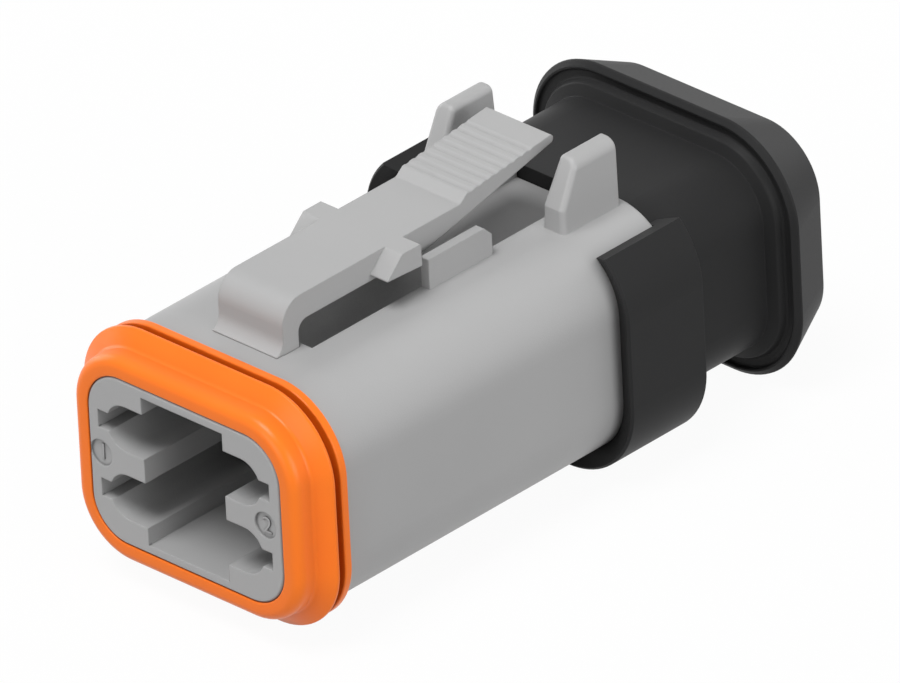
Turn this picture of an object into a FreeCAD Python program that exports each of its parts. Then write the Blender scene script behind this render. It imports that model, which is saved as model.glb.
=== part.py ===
import FreeCAD
import Part

import math
import os

# A sealed four-way plug: a moulded housing with a press latch on top, a silicone face seal round
# its nose, a silicone wire seal in its back and a snap-on boot adapter behind it.
# The plug lies along +Y with the centre of its mating face at the origin and its latch upwards.
# All its cross sections turn their corners about the same four centres, so a section is named
# by its reach: the distance from those centres out to the surface. Millimetres and degrees.

# Contact rooms, two columns of two, open to a central channel for the locking wedge
COLUMN_PITCH = 11.82
ROW_PITCH = 5.84
ROOM_RADIUS = 1.92
KEY_DEPTH = 0.89
KEY_HEIGHT = 1.50
CHANNEL_WIDTH = 8.28
CHANNEL_STEP = 1.44
CAVITY_DEPTH = 24.4
WEB_LENGTH = 8.1
BORE_RADIUS = 1.45

# Locking fingers, one beside each room, that snap behind a contact
FINGER_LENGTH = 13.0
FINGER_THICKNESS = 0.45
FINGER_HEIGHT = 2.60
FINGER_LUG = 0.45
FINGER_LUG_LENGTH = 1.6

# Nose and body of the housing
SIDE_WALL = 1.03
TOP_WALL = 0.74
NOSE_REACH = 3.40
NOSE_LENGTH = 4.43
NOSE_EDGE = 0.14
SHOULDER = 2.14
BODY_EDGE = 0.30
RECESS_WIDTH = 8.28

# Rounded edges that run round the plug are made of straight steps about this long
EDGE_STEP = 0.18

# Recessed discs on the mating face, one each side
DISC_RADIUS = 1.09
DISC_DEPTH = 0.22
LEFT_DISC_X = -8.57
RIGHT_DISC_X = 8.17

# Press latch
ARM_WIDTH = 6.56
ARM_RISE = 2.11
ARM_THICKNESS = 2.14
ARM_LENGTH = 28.3
LEG_THICKNESS = 1.62
ROOT_FROM_FACE = 8.50
OUTER_BEND = 2.00
INNER_BEND = 0.95
FOOT_REACH = 0.75
FOOT_RISE = 1.20
FOOT_EDGE = 0.05
FOOT_CLEARANCE = 0.02
LIFT_FROM_FACE = 23.0
UNDER_LIFT_DEG = 12.6
PAD_STEP = 0.59
PAD_LENGTH = 9.3
PAD_LIFT_DEG = 6.1
GRIP_COUNT = 8
GRIP_PITCH = 0.90
GRIP_GROOVE_RADIUS = 0.60
GRIP_GROOVE_DEPTH = 0.07
BARB_REACH = 1.78
BARB_RISE = 0.30
BARB_NOSE = 0.22
BARB_FLAT = 2.00
BARB_RAMP = 1.70
BARB_END_FROM_FACE = 20.7
HINGE_CLEARANCE = 0.04
RECESS_LIP = 0.46

# Guard ribs beside the arm, behind its barbs
GUARD_GAP = 0.74
GUARD_LENGTH = 6.73
GUARD_WIDTH = 0.85
GUARD_HEIGHT = 2.52
GUARD_CHAMFER = 0.75

# Guard posts either side of the arm's free end
POST_FROM_END = 0.90
POST_LENGTH = 5.95
POST_HEIGHT = 5.57
POST_STEM = 1.93
POST_WIDTH = 2.33
POST_LEAN_DEG = 26.0
POST_INNER_TAPER = 0.54
POST_OUTER_TAPER = 0.08
POST_GAP = 1.60
POST_CROWN_ROUND = 0.90
POST_INNER_ROUND = 0.52
POST_FRONT_ROUND = 0.46

# Face seal round the nose: a front band, a tall thin rib and a rear lip
SEAL_FIT = 0.03
SEAL_BAND = 1.25
SEAL_BAND_LENGTH = 2.25
SEAL_BAND_ROUND = 0.70
SEAL_RIB = 2.96
SEAL_RIB_RISE = 0.32
SEAL_RIB_THICKNESS = 0.42
SEAL_RIB_ROOT = 0.40
SEAL_LIP = 2.81
SEAL_LIP_THICKNESS = 0.70
SEAL_GROOVE = 1.50
SEAL_GROOVE_DRAFT = 0.14

# Wire seal in the back of the housing
WIRE_SEAL_LENGTH = 7.70
WIRE_SEAL_FIT = 0.03
WIRE_SEAL_GAP = 0.10
WIRE_SEAL_RIBS = 3
WIRE_SEAL_RIB_DEPTH = 0.45
WIRE_HOLE_RADIUS = 0.95

# Boot adapter
ADAPTER_CLEARANCE = 0.05
COLLAR_FRONT_FROM_END = 6.23
COLLAR_PLATE = 1.35
COLLAR_WALL = 1.51
COLLAR_FLARE = 0.68
COLLAR_EDGE = 0.20
TIP_INNER_DEG = 51.5
TIP_OUTER_DEG = 45.0
TUBE_REACH = 4.63
TUBE_WALL = 1.30
TUBE_LENGTH = 10.39
LEDGE_HOLD = 0.45
LEDGE_THICKNESS = 1.10

# Flange of the boot adapter: a conical bead, a channel and a rim that tapers backwards
BEAD_REACH = 5.54
BEAD_RISE = 0.38
CHANNEL_DEPTH = 0.95
CHANNEL_DRAFT = 0.25
CHANNEL_REACH = 6.66
RIM_FRONT = 0.60
RIM_REACH = 7.22
RIM_SHOULDER = 1.07
FLANGE_REAR_REACH = 4.98
FLANGE_LENGTH = 5.81

# Snap lugs on the housing's sides, which the collar's pockets close over
LUG_FROM_END = 2.30
LUG_LENGTH = 1.80
LUG_WIDTH = 3.00
LUG_RISE = 0.45
LUG_CREST = 0.40
LUG_CLEARANCE = 0.08

# Section centres, worked out from the rooms and the walls round them
CENTRE_X = COLUMN_PITCH / 2 + ROOM_RADIUS + KEY_DEPTH + SIDE_WALL - NOSE_REACH
CENTRE_Z = ROW_PITCH / 2 + ROOM_RADIUS + CHANNEL_STEP + TOP_WALL - NOSE_REACH
CHANNEL_HEIGHT = ROW_PITCH + 2 * (ROOM_RADIUS + CHANNEL_STEP)
BODY_REACH = NOSE_REACH + SHOULDER
BODY_TOP = CENTRE_Z + BODY_REACH
RECESS_FLOOR = CENTRE_Z + NOSE_REACH
POCKET_REACH = NOSE_REACH - TOP_WALL
WEB_END = CAVITY_DEPTH + WEB_LENGTH
BODY_END = WEB_END + WIRE_SEAL_GAP + WIRE_SEAL_LENGTH
TUBE_FRONT = BODY_END + ADAPTER_CLEARANCE
OVERCUT = 1.0


def arc_points(centre, first, last, steps):
    """Points that divide the arc between two spokes of a circle into equal steps."""
    sweep = first.getAngle(last)
    points = []
    for step in range(steps + 1):
        turned = sweep * step / steps
        spoke = first * math.sin(sweep - turned) + last * math.sin(turned)
        points.append(centre + spoke * (1 / math.sin(sweep)))
    return points


def turned_face(corners, place, step_length=None):
    """Face inside a closed line of corners (u, v, radius), each turned by an arc of its radius.

    Where a step length is given, straight steps of about that length stand for each arc.
    """
    turns = []
    for index, (u, v, radius) in enumerate(corners):
        here = FreeCAD.Vector(u, v, 0)
        if radius == 0:
            turns.append([here])
            continue
        before = FreeCAD.Vector(*corners[index - 1][:2], 0)
        after = FreeCAD.Vector(*corners[(index + 1) % len(corners)][:2], 0)
        back = (before - here).normalize()
        ahead = (after - here).normalize()
        half = back.getAngle(ahead) / 2
        setback = radius / math.tan(half)
        centre = here + (back + ahead).normalize() * (radius / math.sin(half))
        first = here + back * setback - centre
        last = here + ahead * setback - centre
        steps = max(1, round(radius / step_length)) if step_length else 2
        turns.append(arc_points(centre, first, last, steps))
    edges = []
    for index, turn in enumerate(turns):
        stops = [turns[index - 1][-1], turn[0]]
        if step_length:
            stops = stops + turn[1:]
        for start, end in zip(stops, stops[1:]):
            if start.distanceToPoint(end) > 1e-6:
                edges.append(Part.LineSegment(place(start.x, start.y), place(end.x, end.y)).toShape())
        if len(turn) > 1 and not step_length:
            edges.append(Part.Arc(*[place(point.x, point.y) for point in turn]).toShape())
    return Part.Face(Part.Wire(edges))


def along_y(corners, start, end):
    """Prism with an (x, z) outline, from one Y to another."""
    face = turned_face(corners, lambda x, z: FreeCAD.Vector(x, start, z))
    return face.extrude(FreeCAD.Vector(0, end - start, 0))


def along_x(corners, start, end):
    """Prism with a (y, z) outline, from one X to another."""
    face = turned_face(corners, lambda y, z: FreeCAD.Vector(start, y, z))
    return face.extrude(FreeCAD.Vector(end - start, 0, 0))


def along_z(corners, start, end):
    """Prism with an (x, y) outline, from one Z to another."""
    face = turned_face(corners, lambda x, y: FreeCAD.Vector(x, y, start))
    return face.extrude(FreeCAD.Vector(0, 0, end - start))


def block(x_low, x_high, y_low, y_high, z_low, z_high):
    corner = FreeCAD.Vector(x_low, y_low, z_low)
    return Part.makeBox(x_high - x_low, y_high - y_low, z_high - z_low, corner)


def rod_along_y(radius, x, z, start, end):
    return Part.makeCylinder(radius, end - start, FreeCAD.Vector(x, start, z), FreeCAD.Vector(0, 1, 0))


def section(reach, start, end):
    """Prism whose section turns its corners about the four shared centres at one reach."""
    half_x = CENTRE_X + reach
    half_z = CENTRE_Z + reach
    signs = ((-1, -1), (1, -1), (1, 1), (-1, 1))
    return along_y([(x * half_x, z * half_z, reach) for x, z in signs], start, end)


def joined(pieces):
    return pieces[0].multiFuse(pieces[1:]).removeSplitter()


def carried_round(corners):
    """Ring made by carrying a (reach, y, radius) outline once round the four shared centres."""
    signs = ((1, 1), (-1, 1), (-1, -1), (1, -1))
    centres = [FreeCAD.Vector(x * CENTRE_X, 0, z * CENTRE_Z) for x, z in signs]
    pieces = []
    for index, centre in enumerate(centres):
        turn = math.radians(90 * index)
        outward = FreeCAD.Vector(math.cos(turn), 0, math.sin(turn))

        def place(reach, y):
            return centre + outward * reach + FreeCAD.Vector(0, y, 0)

        face = turned_face(corners, place, EDGE_STEP)
        pieces.append(face.revolve(centre, FreeCAD.Vector(0, -1, 0), 90))
        pieces.append(face.extrude(centres[index - 1] - centre))
    return joined(pieces)


def barrel(corners):
    """Solid body whose side follows (reach, y, radius) corners from its front to its back."""
    front = corners[0][1]
    back = corners[-1][1]
    ring = carried_round([(0, front, 0)] + corners + [(0, back, 0)])
    core = block(-CENTRE_X, CENTRE_X, front, back, -CENTRE_Z, CENTRE_Z)
    return joined([ring, core])


def both_sides(piece):
    return [piece, piece.mirror(FreeCAD.Vector(0, 0, 0), FreeCAD.Vector(1, 0, 0))]


def room_places():
    return [(x * COLUMN_PITCH / 2, z * ROW_PITCH / 2) for x in (-1, 1) for z in (-1, 1)]


def cavity():
    """Space for the wedge and the contacts, cut from the mating face."""
    half_width = CHANNEL_WIDTH / 2
    half_height = CHANNEL_HEIGHT / 2
    spaces = [block(-half_width, half_width, -OVERCUT, CAVITY_DEPTH, -half_height, half_height)]
    for x, z in room_places():
        outer = x + math.copysign(ROOM_RADIUS + KEY_DEPTH, x)
        spaces.append(rod_along_y(ROOM_RADIUS, x, z, -OVERCUT, CAVITY_DEPTH))
        spaces.append(block(min(x, 0), max(x, 0), -OVERCUT, CAVITY_DEPTH, z - ROOM_RADIUS, z + ROOM_RADIUS))
        low_z = z - KEY_HEIGHT / 2
        spaces.append(block(min(x, outer), max(x, outer), -OVERCUT, CAVITY_DEPTH, low_z, low_z + KEY_HEIGHT))
    return joined(spaces)


def locking_fingers():
    """Thin fingers that stand forward from the web, each with a lug towards its contact."""
    half_width = CHANNEL_WIDTH / 2
    tip = CAVITY_DEPTH - FINGER_LENGTH
    lug_end = tip + FINGER_LUG_LENGTH
    fingers = []
    for x, z in room_places():
        side = math.copysign(1, x)
        inner = side * half_width
        outer = side * (half_width + FINGER_THICKNESS)
        hook = side * (half_width + FINGER_THICKNESS + FINGER_LUG)
        plan = [
            (inner, tip, 0),
            (hook, tip, 0),
            (outer, lug_end, 0),
            (outer, CAVITY_DEPTH + OVERCUT, 0),
            (inner, CAVITY_DEPTH + OVERCUT, 0),
        ]
        fingers.append(along_z(plan, z - FINGER_HEIGHT / 2, z + FINGER_HEIGHT / 2))
    return fingers


def guard_rib():
    """Low rib that keeps a barb from being pushed sideways."""
    inner = RECESS_WIDTH / 2
    front = BARB_END_FROM_FACE + GUARD_GAP
    top = BODY_TOP + GUARD_HEIGHT
    side = [
        (front, BODY_TOP - OVERCUT, 0),
        (front, top, 0.1),
        (front + GUARD_LENGTH - GUARD_CHAMFER, top, 0.2),
        (front + GUARD_LENGTH, top - GUARD_CHAMFER, 0.2),
        (front + GUARD_LENGTH, BODY_TOP - OVERCUT, 0),
    ]
    return along_x(side, inner, inner + GUARD_WIDTH)


def guard_post():
    """Leaning post that shields the free end of the latch."""
    inner = ARM_WIDTH / 2 + POST_GAP
    outer = inner + POST_WIDTH
    rear = BODY_END - POST_FROM_END
    face = rear - POST_LENGTH
    foot = BODY_TOP - OVERCUT
    stem = BODY_TOP + POST_STEM
    top = BODY_TOP + POST_HEIGHT
    lean = (POST_HEIGHT - POST_STEM) * math.tan(math.radians(POST_LEAN_DEG))
    side = [(face, foot, 0), (face, stem, 0), (face + lean, top, 0), (rear, top, 0), (rear, foot, 0)]
    front = [
        (inner, foot, 0),
        (inner + POST_INNER_TAPER, top, POST_INNER_ROUND),
        (outer - POST_OUTER_TAPER, top, POST_CROWN_ROUND),
        (outer, foot, 0),
    ]
    post = along_x(side, inner, outer).common(along_y(front, face, rear))
    reach = min(POST_FRONT_ROUND, 0.9 * POST_INNER_ROUND)
    rim = [
        edge for edge in post.Edges
        if edge.BoundBox.YMax < rear - reach
        and (edge.BoundBox.ZLength > reach / 2 or edge.BoundBox.ZMin > top - reach / 2)
    ]
    return post.makeFillet(reach, rim)


def snap_lug():
    """Ramp on the housing's right side that the adapter's collar snaps over from behind."""
    side = CENTRE_X + BODY_REACH
    back = BODY_END - LUG_FROM_END
    front = back - LUG_LENGTH
    plan = [
        (side - OVERCUT, front, 0),
        (side + LUG_RISE, front, 0),
        (side + LUG_RISE, front + LUG_CREST, 0),
        (side, back, 0),
        (side - OVERCUT, back, 0),
    ]
    return along_z(plan, -LUG_WIDTH / 2, LUG_WIDTH / 2)


def plug_housing():
    nose_and_body = barrel([
        (NOSE_REACH, 0, NOSE_EDGE),
        (NOSE_REACH, NOSE_LENGTH, 0),
        (BODY_REACH, NOSE_LENGTH, BODY_EDGE),
        (BODY_REACH, BODY_END, BODY_EDGE),
    ])
    half_recess = RECESS_WIDTH / 2
    recess_front = ROOT_FROM_FACE + LEG_THICKNESS / 2 + RECESS_LIP
    recess = block(-half_recess, half_recess, recess_front, BODY_END + OVERCUT, RECESS_FLOOR, BODY_TOP + OVERCUT)
    groove_radius = LEG_THICKNESS / 2 + HINGE_CLEARANCE
    groove_half = ARM_WIDTH / 2 + HINGE_CLEARANCE
    groove_start = FreeCAD.Vector(-groove_half, ROOT_FROM_FACE, BODY_TOP)
    groove = Part.makeCylinder(groove_radius, 2 * groove_half, groove_start, FreeCAD.Vector(1, 0, 0))
    cuts = [recess, groove, cavity(), section(POCKET_REACH, WEB_END, BODY_END + OVERCUT)]
    for x, z in room_places():
        cuts.append(rod_along_y(BORE_RADIUS, x, z, CAVITY_DEPTH - OVERCUT, WEB_END + OVERCUT))
    for x in (LEFT_DISC_X, RIGHT_DISC_X):
        cuts.append(rod_along_y(DISC_RADIUS, x, 0, -OVERCUT, DISC_DEPTH))
    shell = nose_and_body.cut(cuts)
    added = locking_fingers()
    for make_piece in (guard_rib, guard_post, snap_lug):
        added = added + both_sides(make_piece())
    return joined([shell] + added)


def latch_outline():
    """Side view of the leg and the arm, from the leg's foot round to the free end and back."""
    leg_front = ROOT_FROM_FACE - LEG_THICKNESS / 2
    leg_rear = ROOT_FROM_FACE + LEG_THICKNESS / 2
    under = BODY_TOP + ARM_RISE
    top = under + ARM_THICKNESS
    end = ROOT_FROM_FACE + ARM_LENGTH
    under_end = under + (end - LIFT_FROM_FACE) * math.tan(math.radians(UNDER_LIFT_DEG))
    pad_front = end - PAD_LENGTH
    pad_end = top + PAD_STEP + PAD_LENGTH * math.tan(math.radians(PAD_LIFT_DEG))
    return [
        (leg_front, BODY_TOP, 0),
        (leg_rear, BODY_TOP, 0),
        (leg_rear, under, INNER_BEND),
        (LIFT_FROM_FACE, under, 4.0),
        (end, under_end, 0.3),
        (end, pad_end, 0.3),
        (pad_front, top + PAD_STEP, 0.3),
        (pad_front - PAD_STEP * 1.3, top, 0.3),
        (leg_front, top, OUTER_BEND),
    ]


def barb():
    """Wedge on the arm's side that catches in the mating half."""
    top = BODY_TOP + ARM_RISE + ARM_THICKNESS
    front = BARB_END_FROM_FACE - BARB_FLAT - BARB_RAMP
    low = BODY_TOP + ARM_RISE + BARB_RISE
    side = [
        (front, low + BARB_NOSE, 0),
        (BARB_END_FROM_FACE - BARB_FLAT, top, 0.25),
        (BARB_END_FROM_FACE, top, 0.15),
        (BARB_END_FROM_FACE, low, 0.1),
    ]
    half = ARM_WIDTH / 2
    return along_x(side, half - OVERCUT, half + BARB_REACH)


def grip_grooves():
    """Shallow grooves across the thumb pad."""
    slope = math.tan(math.radians(PAD_LIFT_DEG))
    lift = GRIP_GROOVE_RADIUS - GRIP_GROOVE_DEPTH
    half = ARM_WIDTH / 2 + OVERCUT
    pad_front = ROOT_FROM_FACE + ARM_LENGTH - PAD_LENGTH
    grooves = []
    for index in range(GRIP_COUNT):
        along = GRIP_PITCH * (index + 0.5)
        height = BODY_TOP + ARM_RISE + ARM_THICKNESS + PAD_STEP + along * slope
        start = FreeCAD.Vector(-half, pad_front + along, height + lift)
        grooves.append(Part.makeCylinder(GRIP_GROOVE_RADIUS, 2 * half, start, FreeCAD.Vector(1, 0, 0)))
    return grooves


def latch_foot():
    """Root of the leg, which flares forwards in one arc onto the housing's top."""
    half = ARM_WIDTH / 2
    leg_front = ROOT_FROM_FACE - LEG_THICKNESS / 2
    low = BODY_TOP + FOOT_CLEARANCE
    edge = low + FOOT_EDGE
    bend = (FOOT_RISE ** 2 - FOOT_REACH ** 2) / (2 * FOOT_RISE)
    half_turn = (math.pi / 2 + math.atan2(bend, FOOT_REACH)) / 2
    return along_x([
        (leg_front - FOOT_REACH, low, 0),
        (ROOT_FROM_FACE, low, 0),
        (ROOT_FROM_FACE, edge + FOOT_RISE, 0),
        (leg_front, edge + FOOT_RISE, 0),
        (leg_front, edge + bend, (FOOT_RISE - bend) * math.tan(half_turn)),
        (leg_front - FOOT_REACH, edge, 0),
    ], -half, half)


def latch_arm():
    half = ARM_WIDTH / 2
    arm = along_x(latch_outline(), -half, half)
    knuckle_start = FreeCAD.Vector(-half, ROOT_FROM_FACE, BODY_TOP)
    knuckle = Part.makeCylinder(LEG_THICKNESS / 2, ARM_WIDTH, knuckle_start, FreeCAD.Vector(1, 0, 0))
    return joined([arm, knuckle, latch_foot()] + both_sides(barb())).cut(grip_grooves())


def interface_seal():
    rib_front = SEAL_BAND_LENGTH + SEAL_RIB_RISE
    rib_rear = rib_front + SEAL_RIB_THICKNESS
    lip_front = NOSE_LENGTH - SEAL_LIP_THICKNESS
    back = NOSE_LENGTH - SEAL_FIT
    inner = NOSE_REACH + SEAL_FIT
    return carried_round([
        (inner, 0, NOSE_EDGE),
        (NOSE_REACH + SEAL_BAND, 0, SEAL_BAND_ROUND),
        (NOSE_REACH + SEAL_BAND, SEAL_BAND_LENGTH, SEAL_RIB_ROOT),
        (NOSE_REACH + SEAL_RIB, rib_front, 0.12),
        (NOSE_REACH + SEAL_RIB, rib_rear, 0.12),
        (NOSE_REACH + SEAL_GROOVE, rib_rear + SEAL_GROOVE_DRAFT, 0.12),
        (NOSE_REACH + SEAL_GROOVE, lip_front - SEAL_GROOVE_DRAFT, 0.12),
        (NOSE_REACH + SEAL_LIP, lip_front, 0.15),
        (NOSE_REACH + SEAL_LIP, back, 0.15),
        (inner, back, 0),
    ])


def wire_seal():
    front = BODY_END - WIRE_SEAL_LENGTH
    crest = POCKET_REACH - WIRE_SEAL_FIT
    valley = crest - WIRE_SEAL_RIB_DEPTH
    pitch = WIRE_SEAL_LENGTH / WIRE_SEAL_RIBS
    side = []
    for index in range(WIRE_SEAL_RIBS):
        start = front + index * pitch
        side.append((valley, start, 0))
        side.append((crest, start + pitch / 2, 0))
    side.append((valley, BODY_END, 0))
    ends = (front - OVERCUT, BODY_END + OVERCUT)
    holes = [rod_along_y(WIRE_HOLE_RADIUS, x, z, *ends) for x, z in room_places()]
    return barrel(side).cut(holes)


def open_top():
    """Space above the collar's two arms, left open for the latch."""
    inner = math.radians(TIP_INNER_DEG)
    outer = math.radians(TIP_OUTER_DEG)
    collar_reach = BODY_REACH + ADAPTER_CLEARANCE + COLLAR_WALL
    inner_x = CENTRE_X + BODY_REACH * math.cos(inner)
    inner_z = CENTRE_Z + BODY_REACH * math.sin(inner)
    outer_x = CENTRE_X + collar_reach * math.cos(outer)
    outer_z = CENTRE_Z + collar_reach * math.sin(outer)
    slope = (outer_z - inner_z) / (outer_x - inner_x)
    far_x = CENTRE_X + 2 * collar_reach
    far_z = inner_z + slope * (far_x - inner_x)
    roof = far_z + collar_reach
    outline = [
        (0, inner_z - slope * inner_x, 0),
        (far_x, far_z, 0),
        (far_x, roof, 0),
        (-far_x, roof, 0),
        (-far_x, far_z, 0),
    ]
    front = BODY_END - COLLAR_FRONT_FROM_END - COLLAR_FLARE - OVERCUT
    return along_y(outline, front, BODY_END + COLLAR_PLATE + OVERCUT)


def collar():
    """U-shaped collar that grips the back of the housing, with a mouth that funnels onto it."""
    inner_reach = BODY_REACH + ADAPTER_CLEARANCE
    outer_reach = inner_reach + COLLAR_WALL
    mouth = BODY_END - COLLAR_FRONT_FROM_END
    front = mouth - COLLAR_FLARE
    back = BODY_END + COLLAR_PLATE
    whole = barrel([
        (outer_reach, front, COLLAR_EDGE),
        (outer_reach, back, COLLAR_EDGE),
    ])
    funnel = barrel([
        (outer_reach - COLLAR_EDGE, front, 0),
        (inner_reach, mouth, 0),
        (inner_reach, TUBE_FRONT, 0),
    ])
    side = CENTRE_X + BODY_REACH
    pocket_back = BODY_END - LUG_FROM_END + LUG_CLEARANCE
    pocket_front = pocket_back - LUG_LENGTH - 2 * LUG_CLEARANCE
    pocket_half = LUG_WIDTH / 2 + LUG_CLEARANCE
    pocket_floor = side + LUG_RISE + LUG_CLEARANCE
    pocket = block(side, pocket_floor, pocket_front, pocket_back, -pocket_half, pocket_half)
    return whole.cut([funnel, open_top()] + both_sides(pocket))


def tube_and_flange():
    """Tube with a beaded, channelled and tapered flange at its far end."""
    face = BODY_END + TUBE_LENGTH
    end = face + FLANGE_LENGTH
    return barrel([
        (TUBE_REACH, TUBE_FRONT, 0),
        (TUBE_REACH, face, 0),
        (BEAD_REACH, face + BEAD_RISE, 0.15),
        (BEAD_REACH + CHANNEL_DRAFT, face + CHANNEL_DEPTH, 0.15),
        (CHANNEL_REACH - CHANNEL_DRAFT, face + CHANNEL_DEPTH, 0.15),
        (CHANNEL_REACH, face + RIM_FRONT, 0.10),
        (RIM_REACH, face + RIM_SHOULDER, 0.12),
        (FLANGE_REAR_REACH, end, 0.15),
        (TUBE_REACH, end, 0),
    ])


def boot_adapter():
    end = BODY_END + TUBE_LENGTH + FLANGE_LENGTH
    bore = section(TUBE_REACH - TUBE_WALL, TUBE_FRONT + LEDGE_THICKNESS, end + OVERCUT)
    ledge_opening = section(POCKET_REACH - LEDGE_HOLD, TUBE_FRONT - OVERCUT, end)
    return joined([collar(), tube_and_flange()]).cut([bore, ledge_opening])


os.makedirs("parts", exist_ok=True)
for make in (plug_housing, latch_arm, interface_seal, wire_seal, boot_adapter):
    shape = make()
    print(make.__name__, shape.isValid(), len(shape.Solids), round(shape.Volume, 1), shape.BoundBox)
    shape.exportStep(f"parts/{make.__name__}.step")
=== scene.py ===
import math

import bpy
from mathutils import Matrix, Quaternion, Vector


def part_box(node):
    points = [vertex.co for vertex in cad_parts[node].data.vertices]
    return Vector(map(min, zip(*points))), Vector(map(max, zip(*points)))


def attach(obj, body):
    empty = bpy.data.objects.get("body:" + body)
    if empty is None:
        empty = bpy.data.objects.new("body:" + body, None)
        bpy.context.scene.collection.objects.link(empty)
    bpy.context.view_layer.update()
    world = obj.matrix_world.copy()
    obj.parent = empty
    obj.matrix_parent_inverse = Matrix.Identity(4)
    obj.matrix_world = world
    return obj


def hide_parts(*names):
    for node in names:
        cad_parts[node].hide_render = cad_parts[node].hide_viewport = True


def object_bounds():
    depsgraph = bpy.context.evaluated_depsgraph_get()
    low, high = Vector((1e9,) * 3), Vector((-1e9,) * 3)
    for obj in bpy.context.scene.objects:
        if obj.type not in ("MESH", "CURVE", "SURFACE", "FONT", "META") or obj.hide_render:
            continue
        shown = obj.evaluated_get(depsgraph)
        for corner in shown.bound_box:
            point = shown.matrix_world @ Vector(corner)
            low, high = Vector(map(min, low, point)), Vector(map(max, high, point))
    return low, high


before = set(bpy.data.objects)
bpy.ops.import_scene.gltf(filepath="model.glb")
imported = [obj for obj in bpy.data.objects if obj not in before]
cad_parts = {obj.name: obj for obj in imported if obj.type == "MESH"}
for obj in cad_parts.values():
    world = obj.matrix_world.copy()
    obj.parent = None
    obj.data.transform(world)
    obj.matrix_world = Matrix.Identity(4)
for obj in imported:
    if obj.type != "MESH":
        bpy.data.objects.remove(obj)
cad_low, cad_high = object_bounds()

# Moulded housing and latch: one shot of grey glass-filled nylon from the same mould, so both
# carry the same finish: a fine spark-eroded skin, edges a little rounded, and a faint mottling
# where the melt slowed down.


class Wire:
    """An output of a shader node that takes part in Python expressions."""

    def __init__(self, graph, socket):
        self.graph = graph
        self.socket = socket

    def _math(self, operation, first, second):
        return self.graph.node("ShaderNodeMath", {"operation": operation}, inputs=(first, second))

    def __add__(self, other):
        return self._math("ADD", self, other)

    def __radd__(self, other):
        return self._math("ADD", other, self)

    def __sub__(self, other):
        return self._math("SUBTRACT", self, other)

    def __rsub__(self, other):
        return self._math("SUBTRACT", other, self)

    def __mul__(self, other):
        return self._math("MULTIPLY", self, other)

    def __rmul__(self, other):
        return self._math("MULTIPLY", other, self)


class Graph:
    """A tree of shader nodes that grows by one method."""

    def __init__(self, tree):
        self.tree = tree

    def node(self, kind, settings=None, output=0, inputs=(), **named):
        """A node of one kind: its settings first, then the values or wires of its sockets."""
        made = self.tree.nodes.new(kind)
        for setting, value in (settings or {}).items():
            setattr(made, setting, value)
        sockets = list(inputs.items()) if isinstance(inputs, dict) else list(enumerate(inputs))
        sockets += [(name.replace("_", " "), value) for name, value in named.items()]
        for socket, value in sockets:
            if isinstance(value, Wire):
                self.tree.links.new(value.socket, made.inputs[socket])
            else:
                made.inputs[socket].default_value = value
        return Wire(self, made.outputs[output])

    def end(self, wire):
        """Joins the wire to the tree's own output."""
        outlet = next(node for node in self.tree.nodes if node.type.startswith("OUTPUT"))
        self.tree.links.new(wire.socket, outlet.inputs["Surface"])


class Finish(Graph):
    """A material in the making: its tree and its main shader."""

    def __init__(self, name, **constants):
        self.material = bpy.data.materials.new(name)
        self.material.use_nodes = True
        super().__init__(self.material.node_tree)
        self.shader = self.tree.nodes["Principled BSDF"]
        for socket, value in constants.items():
            self.shader.inputs[socket.replace("_", " ")].default_value = value

    def place(self):
        return self.node("ShaderNodeTexCoord", output="Object")

    def blend(self, factor, low, high):
        """A colour that runs from low to high with the factor.

        A Mix node's two colours are its sockets 6 and 7, and their mix is its output 2.
        """
        ends = {0: factor, 6: low, 7: high}
        return self.node("ShaderNodeMix", {"data_type": "RGBA"}, output=2, inputs=ends)

    def openness(self, reach, closed=0.10, open_from=0.45):
        """1 on an open face, 0 in a hollow whose walls stand closer than reach.

        Closed and open_from are the shares of open sky at which it reaches 0 and 1.
        """
        sky = self.node("ShaderNodeAmbientOcclusion", {"samples": 8}, output="AO", Distance=reach)
        ends = (sky, closed, open_from, 0.0, 1.0)
        return self.node("ShaderNodeMapRange", {"clamp": True}, inputs=ends)

    def rounded(self, radius):
        """Normals that turn over an edge as if it were rounded."""
        return self.node("ShaderNodeBevel", {"samples": 6}, Radius=radius)

    def feed(self, socket, wire):
        self.tree.links.new(wire.socket, self.shader.inputs[socket])

    def cover(self, *nodes):
        """Gives the material to CAD nodes in place of their plain one."""
        for node in nodes:
            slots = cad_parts[node].data.materials
            slots.clear()
            slots.append(self.material)


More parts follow.
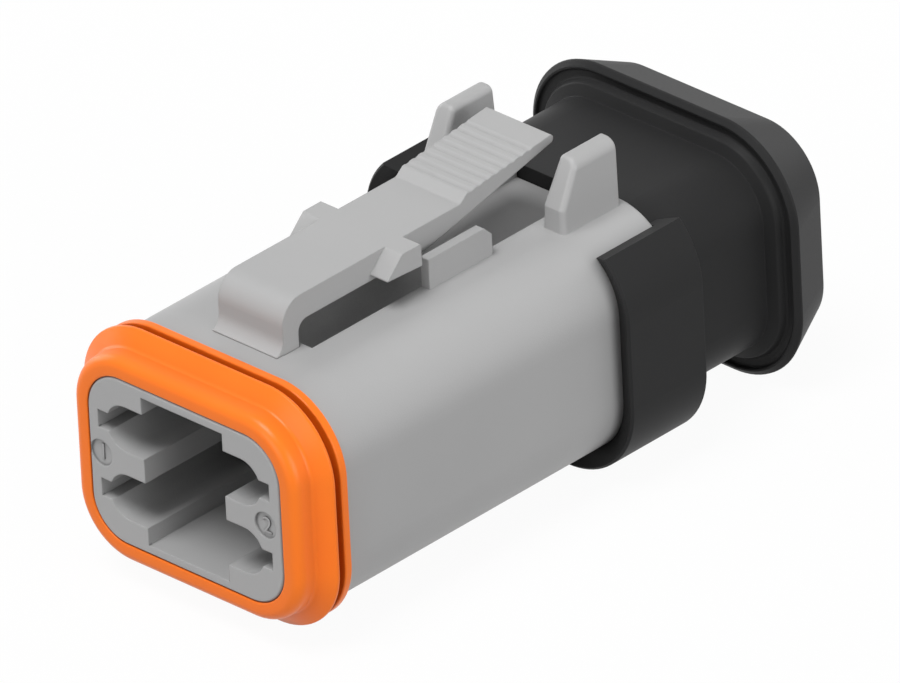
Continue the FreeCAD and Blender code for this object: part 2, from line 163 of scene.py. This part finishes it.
def moulded(name, dull, bright, hollow_shade, roughness, edge, engraved_to=0.0, **constants):
    """Finish of a moulded part: mottled colour, painted shade in hollows, eroded skin and softened
    edges.

    From the mating face back to engraved_to, the creases round small figures get painted shade too.
    """
    mottle_scale = 90.0
    skin_scale = 9000.0
    skin_height = 0.00002
    skin_strength = 0.35
    skin_gloss = 0.12
    hollow_shade_reach = 0.0070
    crease_shade_reach = 0.00025
    finish = Finish(name, **constants)
    where = finish.place()
    melt = finish.node("ShaderNodeTexNoise", Vector=where, Scale=mottle_scale, Detail=3.0, Roughness=0.5)
    skin = finish.node("ShaderNodeTexNoise", Vector=where, Scale=skin_scale, Detail=2.0, Roughness=0.6)
    colour = finish.blend(melt, dull, bright)
    # Painted shade: near the mating face, the tight creases round the figures are darkened.
    if engraved_to:
        depth = finish.node("ShaderNodeSeparateXYZ", output="Y", Vector=where)
        on_face = finish.node("ShaderNodeMath", {"operation": "LESS_THAN"}, inputs=(depth, engraved_to))
        crease_shade = 1 - finish.openness(crease_shade_reach, closed=0.48, open_from=0.95)
        colour = finish.blend(on_face * crease_shade, colour, hollow_shade)
    # Painted shade: the colour turns dark wherever nearby walls close in, as in hollows and recesses.
    finish.feed("Base Color", finish.blend(finish.openness(hollow_shade_reach), hollow_shade, colour))
    finish.feed("Roughness", roughness + (skin - 0.5) * skin_gloss)
    finish.feed("Normal", finish.node(
        "ShaderNodeBump", Strength=skin_strength, Distance=skin_height, Height=skin,
        Normal=finish.rounded(edge),
    ))
    return finish


# This finish paints shade into hollows and into the creases round the numerals on the mating face.
grey_nylon = moulded(
    "grey_nylon", dull=(0.375, 0.375, 0.377, 1), bright=(0.410, 0.410, 0.410, 1),
    hollow_shade=(0.17, 0.17, 0.17, 1), roughness=0.46, edge=0.00016, engraved_to=0.0003,
)
grey_nylon.cover("plug_housing", "latch_arm")

# Contact numerals on the mating face: plain figures that stand a little proud of the floors of the
# two recessed discs, cut into the mould core, so they are of the housing's own plastic.
numeral_height = 0.00140
numeral_rise = 0.00010
numeral_curve_steps = 6
figure_share_of_letter_size = 0.72
disc_floor = 0.00022
numeral_places = {"1": (-0.00850, 0.0), "2": (0.00822, -0.00010)}
for figure, (across, up) in numeral_places.items():
    letters = bpy.data.curves.new("numeral_text", "FONT")
    letters.body = figure
    letters.align_x = "CENTER"
    letters.align_y = "CENTER"
    letters.size = numeral_height / figure_share_of_letter_size
    letters.extrude = numeral_rise
    letters.resolution_u = numeral_curve_steps
    text_object = bpy.data.objects.new("numeral_text", letters)
    bpy.context.scene.collection.objects.link(text_object)
    bpy.context.view_layer.update()
    drawn = text_object.evaluated_get(bpy.context.evaluated_depsgraph_get())
    solid = bpy.data.meshes.new_from_object(drawn)
    upright = Matrix.Rotation(math.radians(90), 4, "X")
    solid.transform(Matrix.Translation((across, disc_floor, up)) @ upright)
    solid.materials.clear()
    solid.materials.append(grey_nylon.material)
    bpy.data.objects.remove(text_object)
    numeral = bpy.data.objects.new("numeral_" + figure, solid)
    bpy.context.scene.collection.objects.link(numeral)
    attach(numeral, "shell")

# Silicone seals: liquid silicone cured in polished cavities, oiled so that they slide, so they shine
# softly;
# their grooves are darkened with painted shade. The wire seal sits unseen in the housing's back.
tint_scale = 160.0
groove_shade_reach = 0.0016
silicone_edge = 0.00008
silicone_roughness = 0.35
oil_gloss = 0.08
groove_shade_orange = (0.62, 0.105, 0.005, 1)
deep_orange = (1.0, 0.188, 0.011, 1)
bright_orange = (1.0, 0.215, 0.015, 1)
silicone = Finish("orange_silicone", Specular_IOR_Level=0.28)
tint = silicone.node(
    "ShaderNodeTexNoise", Vector=silicone.place(), Scale=tint_scale, Detail=2.0, Roughness=0.5,
)
# Painted shade: the orange turns darker in the grooves and other hollows, where shade falls.
clear_of_grooves = silicone.openness(groove_shade_reach, closed=0.40, open_from=1.0)
orange = silicone.blend(tint, deep_orange, bright_orange)
silicone.feed("Base Color", silicone.blend(clear_of_grooves, groove_shade_orange, orange))
silicone.feed("Roughness", silicone_roughness + (tint - 0.5) * oil_gloss)
silicone.feed("Normal", silicone.rounded(silicone_edge))
silicone.cover("interface_seal", "wire_seal")

# Face seal: one silicone ring, stretched over the nose. Its outline, carried once round the four
# corners of the nose, is a broad soft-edged band, a thin rib, a deep groove and a rear lip.
seal_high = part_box("interface_seal")[1]
ring_length = seal_high.y
nose_reach = 0.00340
nose_fit = 0.00003
band_rise = 0.00162
band_length = 0.00180
rib_rise = 0.00296
rib_front = 0.00267
rib_back = 0.00295
groove_rise = 0.00150
groove_front = 0.00305
groove_back = 0.00356
lip_rise = 0.00281
lip_front = 0.00368
inner_edge_round = 0.00014
band_round = 0.00085
band_root_round = 0.00045
rib_round = 0.00012
lip_round = 0.00015
rear_edge_round = 0.00005
corner_steps = 20
arc_steps = 7
seal_corners = (
    (nose_fit, 0.0, inner_edge_round),
    (band_rise, 0.0, band_round),
    (band_rise, band_length, band_root_round),
    (rib_rise, rib_front, rib_round),
    (rib_rise, rib_back, rib_round),
    (groove_rise, groove_front, lip_round),
    (groove_rise, groove_back, lip_round),
    (lip_rise, lip_front, lip_round),
    (lip_rise, ring_length, lip_round),
    (nose_fit, ring_length, rear_edge_round),
)


def rounded_outline(corners, steps):
    """Points of a closed outline whose (across, along, radius) corners are turned into arcs."""
    points = []
    for index, (across, along, radius) in enumerate(corners):
        corner = Vector((across, along))
        before = (Vector(corners[index - 1][:2]) - corner).normalized()
        after = (Vector(corners[(index + 1) % len(corners)][:2]) - corner).normalized()
        half_angle = before.angle(after) / 2
        centre = corner + (before + after).normalized() * radius / math.sin(half_angle)
        start = corner + before * radius / math.tan(half_angle) - centre
        end = corner + after * radius / math.tan(half_angle) - centre
        turn = start.angle_signed(end)
        for step in range(steps + 1):
            angle = -turn * step / steps
            points.append(centre + Vector((
                start.x * math.cos(angle) - start.y * math.sin(angle),
                start.x * math.sin(angle) + start.y * math.cos(angle),
            )))
    return points


outline_curve = bpy.data.curves.new("seal_outline", "CURVE")
outline_spline = outline_curve.splines.new("POLY")
outline_points = rounded_outline(seal_corners, arc_steps)
outline_spline.points.add(len(outline_points) - 1)
for point, (across, along) in zip(outline_spline.points, outline_points):
    point.co = (across, along, 0, 1)
outline_spline.use_cyclic_u = True
outline_object = bpy.data.objects.new("seal_outline", outline_curve)
bpy.context.scene.collection.objects.link(outline_object)

# The ring's tree lays a rectangle round the nose, turns its corners and carries the outline along.
carrier = bpy.data.node_groups.new("carried_ring", "GeometryNodeTree")
carrier.interface.new_socket("Geometry", in_out="INPUT", socket_type="NodeSocketGeometry")
ring_inputs = {
    name: carrier.interface.new_socket(name, in_out="INPUT", socket_type=kind)
    for name, kind in (
        ("Width", "NodeSocketFloat"),
        ("Height", "NodeSocketFloat"),
        ("Corner Radius", "NodeSocketFloat"),
        ("Corner Steps", "NodeSocketInt"),
        ("Outline", "NodeSocketObject"),
        ("Finish", "NodeSocketMaterial"),
    )
}
carrier.interface.new_socket("Geometry", in_out="OUTPUT", socket_type="NodeSocketGeometry")
given = carrier.nodes.new("NodeGroupInput")
nose_line = carrier.nodes.new("GeometryNodeCurvePrimitiveQuadrilateral")
turned_line = carrier.nodes.new("GeometryNodeFilletCurve")
turned_line.mode = "POLY"
outline_info = carrier.nodes.new("GeometryNodeObjectInfo")
carried = carrier.nodes.new("GeometryNodeCurveToMesh")
smooth = carrier.nodes.new("GeometryNodeSetShadeSmooth")
realized = carrier.nodes.new("GeometryNodeRealizeInstances")
finished = carrier.nodes.new("GeometryNodeSetMaterial")
result = carrier.nodes.new("NodeGroupOutput")
for source, target in (
    (given.outputs["Width"], nose_line.inputs["Width"]),
    (given.outputs["Height"], nose_line.inputs["Height"]),
    (nose_line.outputs["Curve"], turned_line.inputs["Curve"]),
    (given.outputs["Corner Radius"], turned_line.inputs["Radius"]),
    (given.outputs["Corner Steps"], turned_line.inputs["Count"]),
    (given.outputs["Outline"], outline_info.inputs["Object"]),
    (turned_line.outputs["Curve"], carried.inputs["Curve"]),
    (outline_info.outputs["Geometry"], carried.inputs["Profile Curve"]),
    (carried.outputs["Mesh"], smooth.inputs["Geometry"]),
    (smooth.outputs["Geometry"], realized.inputs["Geometry"]),
    (realized.outputs["Geometry"], finished.inputs["Geometry"]),
    (given.outputs["Finish"], finished.inputs["Material"]),
    (finished.outputs["Geometry"], result.inputs["Geometry"]),
):
    carrier.links.new(source, target)
seed = bpy.data.objects.new("face_seal_seed", bpy.data.meshes.new("face_seal_seed"))
bpy.context.scene.collection.objects.link(seed)
growth = seed.modifiers.new("carried_ring", "NODES")
growth.node_group = carrier
for name, value in (
    ("Width", 2 * (seal_high.x - rib_rise)),
    ("Height", 2 * (seal_high.z - rib_rise)),
    ("Corner Radius", nose_reach),
    ("Corner Steps", corner_steps),
    ("Outline", outline_object),
    ("Finish", silicone.material),
):
    growth[ring_inputs[name].identifier] = value
bpy.context.view_layer.update()
ring = bpy.data.meshes.new_from_object(seed.evaluated_get(bpy.context.evaluated_depsgraph_get()))
seed.modifiers.remove(growth)
bpy.data.objects.remove(seed)
bpy.data.objects.remove(outline_object)
ring.transform(Matrix.Rotation(math.radians(90), 4, "X"))
face_seal = bpy.data.objects.new("face_seal", ring)
bpy.context.scene.collection.objects.link(face_seal)
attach(face_seal, "shell")
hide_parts("interface_seal")

# Boot adapter: black nylon, moulded in one piece with its collar, tube and flange, with the
# same eroded skin as the housing. It snaps over two lugs on the housing's sides.
# Like the housing's finish, this one paints shade into hollows.
black_nylon = moulded(
    "black_nylon", dull=(0.0200, 0.0200, 0.0204, 1), bright=(0.0235, 0.0235, 0.0239, 1),
    hollow_shade=(0.009, 0.009, 0.009, 1), roughness=0.48, edge=0.00012, Specular_IOR_Level=0.10,
)
black_nylon.cover("boot_adapter")

# Floor: a wide pale sheet under the plug. Camera and reflections see it white, with a faint shadow
# of the plug, while the plug itself is lit by the pale sheet alone.
floor_half = 0.6
floor_grey = (0.34, 0.34, 0.34, 1)
floor_white = 1.08
kept_shadow = 0.12
floor_z = cad_low.z
floor_mesh = bpy.data.meshes.new("floor")
floor_mesh.from_pydata(
    [(x * floor_half, y * floor_half, floor_z) for x, y in ((-1, -1), (1, -1), (1, 1), (-1, 1))],
    [], [(0, 1, 2, 3)],
)
floor = bpy.data.objects.new("floor", floor_mesh)
bpy.context.scene.collection.objects.link(floor)


def seen_rays(graph):
    """1 for the rays of the camera, of reflections and of clear parts, 0 for the light itself."""
    kinds = ("Is Camera Ray", "Is Glossy Ray", "Is Transmission Ray")
    return sum(graph.node("ShaderNodeLightPath", output=kind) for kind in kinds)


pale = Finish("pale_floor", Base_Color=floor_grey, Roughness=0.9, Specular_IOR_Level=0.1)
sheet = Wire(pale, pale.shader.outputs[0])
white = pale.node("ShaderNodeEmission", Color=(1, 1, 1, 1), Strength=floor_white)
whitened = seen_rays(pale) * (1 - kept_shadow)
pale.end(pale.node("ShaderNodeMixShader", inputs=(whitened, sheet, white)))
floor_mesh.materials.append(pale.material)

# Surround: a studio tent of white cloth. The light it gives is even and dim, and it is white where
# the camera and reflections see it.
tent_level = 0.18
tent_world = bpy.data.worlds.new("studio_tent")
tent_world.use_nodes = True
bpy.context.scene.world = tent_world
tent = Graph(tent_world.node_tree)
cloth = tent.node("ShaderNodeBackground", Color=(1, 1, 1, 1), Strength=tent_level)
backdrop = tent.node("ShaderNodeBackground", Color=(1, 1, 1, 1), Strength=1.0)
tent.end(tent.node("ShaderNodeMixShader", inputs=(seen_rays(tent), cloth, backdrop)))

# Lamps: one softbox high in front and wide low panels on all four sides. Each has the direction it
# stands in, the light it gives to a surface that faces it, and the angle it fills.
for name, stands, brightness, spread_deg in (
    ("softbox", (0.0, -0.33, 0.94), 0.67, 28),
    ("front_panel", (0.0, -0.97, 0.24), 0.27, 40),
    ("right_panel", (0.97, 0.0, 0.24), 0.45, 40),
    ("left_panel", (-0.97, 0.0, 0.24), 0.28, 40),
    ("back_panel", (0.0, 0.97, 0.24), 0.18, 40),
):
    lamp = bpy.data.lights.new(name, "SUN")
    lamp.energy = brightness * math.pi
    lamp.angle = math.radians(spread_deg)
    lamp_object = bpy.data.objects.new(name, lamp)
    lamp_object.rotation_mode = "QUATERNION"
    lamp_object.rotation_quaternion = (-Vector(stands)).to_track_quat("-Z", "Y")
    bpy.context.scene.collection.objects.link(lamp_object)

# Camera: a very long lens, 45 degrees round from the mating face and 30 degrees up, rolled a
# little, so that the plug fills the frame as it does in the photograph.
azimuth = math.radians(45)
elevation = math.radians(30)
roll = math.radians(-2.95)
lens_mm = 1200
sensor_mm = 36
frame_width = 0.06652
right_of_origin = 0.01943
above_origin = 0.01089
mean_depth = 0.016
nearest_seen = 0.1
back = Vector((
    math.sin(azimuth) * math.cos(elevation),
    -math.cos(azimuth) * math.cos(elevation),
    math.sin(elevation),
))
turned = (-back).to_track_quat("-Z", "Y") @ Quaternion((0, 0, 1), roll)
lens_distance = frame_width * lens_mm / sensor_mm
camera = bpy.data.cameras.new("camera")
camera.lens = lens_mm
camera.sensor_width = sensor_mm
camera.clip_start = nearest_seen
camera.clip_end = 2 * lens_distance
camera_object = bpy.data.objects.new("camera", camera)
camera_object.rotation_mode = "QUATERNION"
camera_object.rotation_quaternion = turned
aim = turned @ Vector((right_of_origin, above_origin, 0))
camera_object.location = aim + back * (lens_distance - mean_depth)
bpy.context.scene.collection.objects.link(camera_object)
bpy.context.scene.camera = camera_object
bpy.context.scene.view_settings.view_transform = "Standard"
